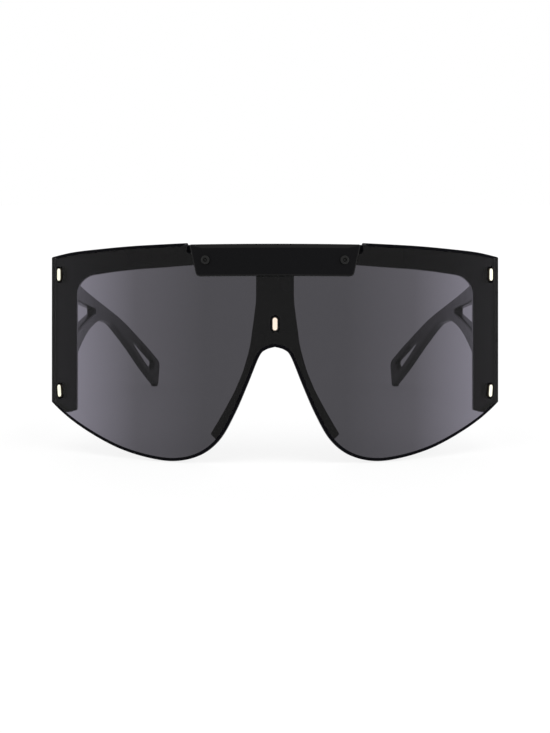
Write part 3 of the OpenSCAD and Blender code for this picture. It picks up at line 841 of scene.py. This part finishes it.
def widening(bevel, widest, room):
    """The width of a painted dark rim, painted shade: just past the bevel at a corner, and widest once
    it has room.
    """
    return min(bevel + RIM_PAST_BEVEL + RIM_GROWTH * max(room - RIM_NARROW_L, 0), widest)


def lens():
    bevel = 0.3 * MM
    flat = to_arc(lens_outline(), WRAP_R)
    side, notch = HALF_ANGLE * WRAP_R, math.asin(NOTCH_HALF_W / WRAP_R) * WRAP_R

    # The black band along the lens's outline is painted shade: narrow near its sides and the notch, and
    # widest elsewhere.
    def rim(p):
        near_notch = abs(abs(p.x) - notch) if p.y > LENS_H / 2 else side
        return widening(bevel, LENS_RIM_W, min(side - abs(p.x), near_notch))

    bm, normals = plate(flat, rivet_holes() + plate_screw_holes(WRAP_R), LENS_T, bevel, rim=rim)
    normals = bend(bm, normals, wrap(WRAP_R))
    mats = [MATS["smoke_lens"], MATS["lens_rim_painted_shade"]]
    make("lens_shield", [(bm, normals)], mats, "front", ["lens"])


def end_piece():
    """The block that carries the hinge, from inside the panel back to the temple's root."""
    bevel, butt, flare = 0.5 * MM, AXIS_Y - HINGE_GAP / 2, TEMPLE_T / 2
    start = WRAP_R - FRAME_BACK_R * math.cos(HALF_ANGLE) - LUG_ROOT_L
    r = 1.2 * bevel
    outline = rounded([
        corner(start, ROOT_LOW_Z - flare, r),
        Vector((AXIS_Y - LUG_L / 2, ROOT_LOW_Z - flare / 2)),
        corner(butt, ROOT_LOW_Z, r),
        corner(butt, ROOT_TOP_Z, r),
        corner(start, ROOT_TOP_Z + flare / 2, r),
    ])
    bm, normals = plate(outline, [], TEMPLE_T, bevel, step=LENS_H)
    normals = bend(bm, normals, lambda p: Vector((TEMPLE_OUT_X - p.z, p.x, p.y)))
    return bm, normals


def front_frame():
    bevel = 0.3 * MM
    flat = to_arc(frame_outline(), FRAME_R)
    bm, normals = plate(flat, plate_screw_holes(FRAME_R), FRAME_T, bevel)
    normals = bend(bm, normals, wrap(FRAME_R))
    parts = [(bm, normals)] + [moved(end_piece(), side) for _, side in SIDES]
    mats = [MATS["frame_black"], MATS["frame_edge"]]
    make("frame_shell", parts, mats, "front", ["front_frame"])


def brow_plate():
    bevel = 0.35 * MM
    top, low = PLATE_W / 2, PLATE_W / 2 - PLATE_TAPER
    half = [
        Vector((top - PLATE_TOP_POINT, PLATE_TOP_Z)),
        corner(top, PLATE_TOP_Z, PLATE_TOP_R),
        corner(low, PLATE_TOP_Z - PLATE_H, PLATE_LOW_R),
    ]
    flat = to_arc(rounded(half + mirrored(half)), PLATE_FACE_R)

    # The blacker band along the plate's top is painted shade, narrow at its top corners.
    def rim(p):
        return widening(bevel, PLATE_RIM_W, top - abs(p.x) if p.y > PLATE_TOP_Z - bevel else 0)

    bm, normals = plate(flat, plate_screw_holes(PLATE_FACE_R), PLATE_T, bevel, rim=rim)
    normals = bend(bm, normals, wrap(PLATE_FACE_R))
    mats = [MATS["plate_black"], MATS["plate_rim_painted_shade"]]
    make("brow_bar", [(bm, normals)], mats, "front", ["brow_plate"])


def star_head(r, h, recess_r, recess_h, crown):
    """Profile of a turned screw head with a star recess, and which of its rows are star-shaped."""
    rise = [(r, 0), (r, h * (1 - crown))]
    for k in range(1, DOME_STEPS):
        a = math.pi / 2 * k / DOME_STEPS
        x = r - (r - recess_r) * (1 - math.cos(a))
        rise.append((x, h * (1 - crown) + h * crown * math.sin(a)))
    star = [(recess_r, h), (recess_r * 0.92, h - recess_h * 0.2), (recess_r * 0.9, h - recess_h)]
    floor_point = (recess_r * 0.2, h - recess_h * 1.2)
    return rise + star + [floor_point], range(len(rise), len(rise) + len(star))


def screw_part(shank, head, lobed):
    """A turned screw from its shank's profile and its head's."""
    return lathe(shank + head, STAR_POINTS, STAR_SHARE, [k + len(shank) for k in lobed])


def plate_screws():
    head, lobed = star_head(PLATE_SCREW_HEAD_R, PLATE_SCREW_HEAD_H, 0.62 * MM, 0.45 * MM, 0.75)
    shank = [(PLATE_SCREW_R, FRAME_BACK_R - PLATE_FACE_R), (PLATE_SCREW_R, 0)]
    out = Matrix.Translation((0, 0, PLATE_FACE_R - WRAP_R + SEAT_GAP / 2))
    for name, side in SIDES:
        place = side @ at_front(PLATE_SCREW_ANGLE, PLATE_SCREW_Z) @ out
        parts = [moved(screw_part(shank, head, lobed), place)]
        node = f"plate_screw_{name}"
        make(f"brow_screw_{name}", parts, [MATS["screw_black"]], "front", [node])


def rivet_part():
    """An oval head with a rounded rim, on its shank."""
    seat = FRAME_R - WRAP_R + SEAT_GAP / 2
    outline, depth = oval(RIVET_W, RIVET_H), RIVET_PROUD - seat
    head = plate(outline, [], depth, RIVET_BEVEL, step=RIVET_W, back_bevel=RIVET_FOOT_BEVEL)
    outline = oval(RIVET_W / 2, RIVET_H - RIVET_W)
    depth = RIVET_PROUD / 2 - seat + RIVET_DEPTH
    shank = plate(outline, [], depth, RIVET_FOOT_BEVEL, step=RIVET_W)
    turn = Matrix.Diagonal((1, 1, -1, 1))
    head = moved(head, Matrix.Translation((0, 0, RIVET_PROUD)) @ turn)
    shank = moved(shank, Matrix.Translation((0, 0, RIVET_PROUD / 2)) @ turn)
    return [head, shank]


def rivets():
    # The bridge rivet takes the darker copy of the gold and the corner rivets the whiter one: painted
    # shade and painted highlight.
    places = [("bridge_rivet", at_front(0, BRIDGE_RIVET_Z), "rivet_metal_painted_shade")]
    for name, angle, z, tilt in RIVETS:
        for side_name, side in SIDES:
            places.append((f"{name}_{side_name}", side @ at_front(angle, z, tilt), "rivet_gold"))
    for node, place, gold in places:
        parts = [moved(part, place) for part in rivet_part()]
        mats = [MATS[gold], MATS["rivet_side"]]
        make(node.replace("rivet", "stud"), parts, mats, "front", [node])


def nose_pads():
    """A soft flange along the back of each nose arm, thick at its root and round at its edge."""
    stations, around, low, top = 41, 20, 0.1, 0.86
    line = smooth(inset_path(NOSE_PTS, ARM_W / 2))

    def at(share):
        k = share * (len(line) - 1)
        i = min(int(k), len(line) - 2)
        return line[i].lerp(line[i + 1], k - i)

    rows = []
    for k in range(stations):
        way = k / (stations - 1)
        share = low + way * (top - low)
        root = at(share)
        along = (at(share + 0.01) - at(share - 0.01)).normalized()
        out = Vector((along.y, -along.x))
        full = math.sqrt(max(1 - (2 * way - 1) ** 4, 0))
        depth = PAD_DEPTH * (0.15 + 0.85 * full)
        width = PAD_T * (0.4 + 0.6 * full)
        face = WRAP_R - math.sqrt(FRAME_BACK_R**2 - root.x**2) + SEAT_GAP + PAD_T / 5
        row = []
        for j in range(around):
            a = math.tau * j / around
            across, back = math.cos(a), (1 - math.sin(a)) / 2
            side = across * width / 2 * (1 - 0.25 * back)
            p = root + out * (side + PAD_SPLAY * back * depth / PAD_DEPTH)
            row.append(Vector((p.x, face + back * depth, p.y)))
        rows.append(row)
    for name, side in SIDES:
        bm = rings(rows)
        bm.transform(side)
        face_out(bm)
        part = (bm, [v.normal.copy() for v in bm.verts])
        node = f"nose_pad_{name}"
        pad = make(f"soft_pad_{name}", [part], [MATS["pad_rubber"]], "front", [node])


def arc_radius(dx, dy):
    """The radius of an arc that starts straight and ends dx aside and dy on."""
    return dy / math.sin(2 * math.atan(dx / dy))


def temple_bend():
    """Bends a flat temple in towards the ear: X of the flat is the way back, Z the way in."""
    in_r = arc_radius(TEMPLE_IN_X - EAR_GAP / 2, BEND_L)
    tip = math.asin(BEND_L / in_r)
    out_r = arc_radius(TEMPLE_OUT_X - EAR_GAP / 2 - TIP_T / math.cos(tip), BEND_L)

    def place(p):
        y = AXIS_Y + p.x
        past = max(y - BEND_Y, 0)
        outer = TEMPLE_OUT_X - out_r + math.sqrt(out_r**2 - past**2)
        inner = TEMPLE_IN_X - in_r + math.sqrt(in_r**2 - past**2)
        return Vector((outer + (inner - outer) * p.z / TEMPLE_T, y, ROOT_LOW_Z + p.y))

    return place


def temples():
    bevel = 0.7 * MM
    holes = [rounded_shares(HOLE, HOLE_R), rounded_shares(SLOT, SLOT_R)]
    for name, side in SIDES:
        bm, normals = plate(temple_outline(), holes, TEMPLE_T, bevel)
        normals = bend(bm, normals, temple_bend())
        part = moved((bm, normals), side)
        node = f"temple_{name}"
        make(f"temple_arm_{name}", [part], [MATS["frame_black"]] * 2, node, [node])


def leaf_part(way):
    """A hinge leaf with its knuckles, on the right side. way is -1 for the front's and 1 for the
    temple's."""
    mine, edge, room = (0 if way < 0 else 1), LEAF_EDGE, KNUCKLE_R + HINGE_GAP
    half, barrel = LEAF_H / 2, BARREL_H / 2
    corners = [
        corner(way * room, half, 2 * edge), corner(way * LEAF_L, half, 8 * edge),
        corner(way * LEAF_L, -half, 8 * edge), corner(way * room, -half, 2 * edge),
    ]
    z_of = [HINGE_Z - barrel + k * (KNUCKLE_H + HINGE_GAP) for k in range(KNUCKLES)]
    # The leaf reaches the barrel only beside its own knuckles
    for k in range(mine, KNUCKLES, 2):
        z = z_of[k] - HINGE_Z
        corners += [Vector((way * room, z)), Vector((0, z))]
        corners += [Vector((0, z + KNUCKLE_H)), Vector((way * room, z + KNUCKLE_H))]
    hole_x, pitch = way * LEAF_L * LEAF_SCREW_SHARE, LEAF_H / 2
    holes = [
        circle(LEAF_SCREW_R + SEAT_GAP / 2, Vector((hole_x, (k - 0.5) * pitch)))
        for k in range(2)
    ]
    bm, normals = plate(rounded(corners), holes, LEAF_T, edge / 2, step=LEAF_H)
    outer = TEMPLE_IN_X - SEAT_GAP
    normals = bend(bm, normals, lambda p: Vector((outer - p.z, AXIS_Y + p.x, HINGE_Z + p.y)))
    parts = [(bm, normals)]
    for k in range(mine, KNUCKLES, 2):
        r, h = KNUCKLE_R, KNUCKLE_H
        bore = AXLE_R + SEAT_GAP / 2
        profile = [(bore, 0), (r - edge, 0), (r, edge), (r, h - edge), (r - edge, h), (bore, h)]
        parts.append(moved(lathe(profile), Matrix.Translation((AXIS_X, AXIS_Y, z_of[k]))))
    return parts


def leaf_screws(way):
    """The two screws of a leaf on the right side."""
    reach = LEAF_T + SEAT_GAP + TEMPLE_T * 0.6
    head, lobed = star_head(LEAF_SCREW_HEAD_R, LEAF_SCREW_HEAD_H, 0.38 * MM, 0.22 * MM, 0.6)
    shank = [(LEAF_SCREW_R, -reach), (LEAF_SCREW_R, 0)]
    inward = Matrix.Rotation(-math.pi / 2, 4, "Y")
    x = TEMPLE_IN_X - SEAT_GAP - LEAF_T - SEAT_GAP / 2
    y = AXIS_Y + way * LEAF_L * LEAF_SCREW_SHARE
    parts = []
    for k in range(2):
        z = HINGE_Z + (k - 0.5) * LEAF_H / 2
        place = Matrix.Translation((x, y, z)) @ inward
        parts.append(moved(screw_part(shank, head, lobed), place))
    return parts


def axle_part():
    """The hinge screw on the right side: its head sits on the top knuckle."""
    h = BARREL_H / 2
    profile, lobed = star_head(KNUCKLE_R - SEAT_GAP / 2, KNUCKLE_H / 3, 0.5 * MM, 0.35 * MM, 0.5)
    shank = [(AXLE_R, -h), (AXLE_R, h)]
    head = [(r, z + h + SEAT_GAP / 2) for r, z in profile]
    place = Matrix.Translation((AXIS_X, AXIS_Y, HINGE_Z))
    return moved(screw_part(shank, head, lobed), place)


def hinges():
    for name, side in SIDES:
        metal = [MATS["hinge_metal"]] * 2
        temple = f"temple_{name}"
        for way, body, leaf in ((-1, "front", "front_hinge"), (1, temple, "temple_hinge")):
            parts = [moved(p, side) for p in leaf_part(way)]
            make(f"{leaf}_leaf_{name}", parts, metal, body, [f"{leaf}_{name}"])
            parts = [moved(p, side) for p in leaf_screws(way)]
            make(f"{leaf}_bolts_{name}", parts, metal, body, [f"{leaf}_screws_{name}"])
        parts = [moved(axle_part(), side)]
        make(f"hinge_axle_{name}", parts, metal, "front", [f"hinge_screw_{name}"])


lens()
front_frame()
brow_plate()
plate_screws()
rivets()
nose_pads()
temples()
hinges()


# Studio


def stage_plane(name, size, mat):
    """A square of floor round the origin, attached to no body of the object."""
    bm = bmesh.new()
    corners = ((-1, -1), (1, -1), (1, 1), (-1, 1))
    bm.faces.new([bm.verts.new((x * size / 2, y * size / 2, 0)) for x, y in corners])
    mesh = bpy.data.meshes.new(name)
    bm.to_mesh(mesh)
    bm.free()
    mesh.materials.append(mat)
    obj = bpy.data.objects.new(name, mesh)
    bpy.context.scene.collection.objects.link(obj)


def looking(nt):
    """1 for the rays that see the background: the eye's, reflections' and those through the lens."""
    path = nt.nodes.new("ShaderNodeLightPath")
    eye, reflected, through = (
        path.outputs[kind] for kind in ("Is Camera Ray", "Is Glossy Ray", "Is Transmission Ray")
    )
    return math_node(nt, "MAXIMUM", math_node(nt, "MAXIMUM", eye, reflected), through)


def shown(tree, out, other, background):
    """Gives the output one shader for the rays that see the background, and another for the rest."""
    mix = tree.nodes.new("ShaderNodeMixShader")
    tree.links.new(looking(tree), mix.inputs["Fac"])
    tree.links.new(other.outputs[0], mix.inputs[1])
    tree.links.new(background.outputs[0], mix.inputs[2])
    tree.links.new(mix.outputs[0], out.inputs["Surface"])


FLOOR_SIZE = 6.0
# The floor's grey in the light that it throws back, and how much it shows lamps and shadows
FLOOR_GREY, SHADOW_GREY = 0.8, 0.16
# How much it glows on its own, by distance from the part as a share of GLOW_REACH: less near the
# part, where the lamps light it
GLOW_REACH = 2
FLOOR_GLOW = ((0.15, 0.8), (0.8, 0.94))


def floor():
    """A white sweep: the eye, reflections and the lens see white, less a faint shadow of the object."""
    m = bpy.data.materials.new("floor_white")
    m.use_nodes = True
    nt = m.node_tree
    nt.nodes.clear()

    def diffuse(level):
        node = nt.nodes.new("ShaderNodeBsdfDiffuse")
        node.inputs["Color"].default_value = (level, level, level, 1)
        return node

    distance = nt.nodes.new("ShaderNodeVectorMath")
    distance.operation = "LENGTH"
    nt.links.new(nt.nodes.new("ShaderNodeTexCoord").outputs["Object"], distance.inputs[0])
    share = ranged(nt, distance.outputs["Value"], 0, GLOW_REACH, 0, 1)
    glow = nt.nodes.new("ShaderNodeEmission")
    stops = [(at, (level,) * 3) for at, level in FLOOR_GLOW]
    nt.links.new(ramp(nt, share, stops), glow.inputs["Color"])
    white = nt.nodes.new("ShaderNodeAddShader")
    nt.links.new(diffuse(SHADOW_GREY).outputs[0], white.inputs[0])
    nt.links.new(glow.outputs[0], white.inputs[1])
    shown(nt, nt.nodes.new("ShaderNodeOutputMaterial"), diffuse(FLOOR_GREY), white)
    stage_plane("floor", FLOOR_SIZE, m)


FILL_STRENGTH = 0.5


def world():
    """White at strength 1 to the eye, in reflections and through the lens, and a dimmer fill light."""
    w = bpy.data.worlds.new("studio")
    bpy.context.scene.world = w
    w.use_nodes = True
    nt = w.node_tree
    nt.nodes.clear()

    def background(strength):
        node = nt.nodes.new("ShaderNodeBackground")
        node.inputs["Color"].default_value = (1, 1, 1, 1)
        node.inputs["Strength"].default_value = strength
        return node

    out = nt.nodes.new("ShaderNodeOutputWorld")
    shown(nt, out, background(FILL_STRENGTH), background(1.0))


def lamp(name, azimuth, elevation, distance, size, power):
    """A soft box that looks at the part. Azimuth 0 is the camera's side, 90 the right."""
    light = bpy.data.lights.new(name, "AREA")
    light.shape = "RECTANGLE"
    light.size, light.size_y = size
    light.energy = power
    a, e = math.radians(azimuth), math.radians(elevation)
    towards = Vector((math.sin(a) * math.cos(e), -math.cos(a) * math.cos(e), math.sin(e)))
    obj = bpy.data.objects.new(name, light)
    obj.location = towards * distance
    obj.rotation_mode = "QUATERNION"
    obj.rotation_quaternion = towards.to_track_quat("Z", "Y")
    obj.visible_camera = obj.visible_glossy = obj.visible_transmission = False
    bpy.context.scene.collection.objects.link(obj)


def camera():
    """The photograph's view: level with the leaned front and straight at it."""
    distance, height = 450 * MM, 31.4 * MM
    image_w, image_h = 550, 733
    focal_px, aim_px = 1455.5, (275.0, 360.5)
    data = bpy.data.cameras.new("camera")
    data.sensor_width = 36
    data.lens = focal_px / image_h * data.sensor_width
    data.shift_x = (image_w / 2 - aim_px[0]) / image_h
    data.shift_y = (aim_px[1] - image_h / 2) / image_h
    data.clip_start, data.clip_end = 0.01, 20
    cam = bpy.data.objects.new("camera", data)
    place = UPRIGHT @ Matrix.Translation((0, -distance, height))
    cam.matrix_world = place @ Matrix.Rotation(math.pi / 2, 4, "X")
    bpy.context.scene.collection.objects.link(cam)
    bpy.context.scene.camera = cam


bpy.context.scene.view_settings.view_transform = "Standard"
camera()
world()
floor()
lamp("top", 0, 78, 1.2, (1.4, 1.0), 9)
lamp("side_left", -68, 12, 0.9, (0.5, 1.1), 4)
lamp("side_right", 68, 12, 0.9, (0.5, 1.1), 7)
lamp("back", 180, 40, 1.2, (1.2, 0.6), 6)
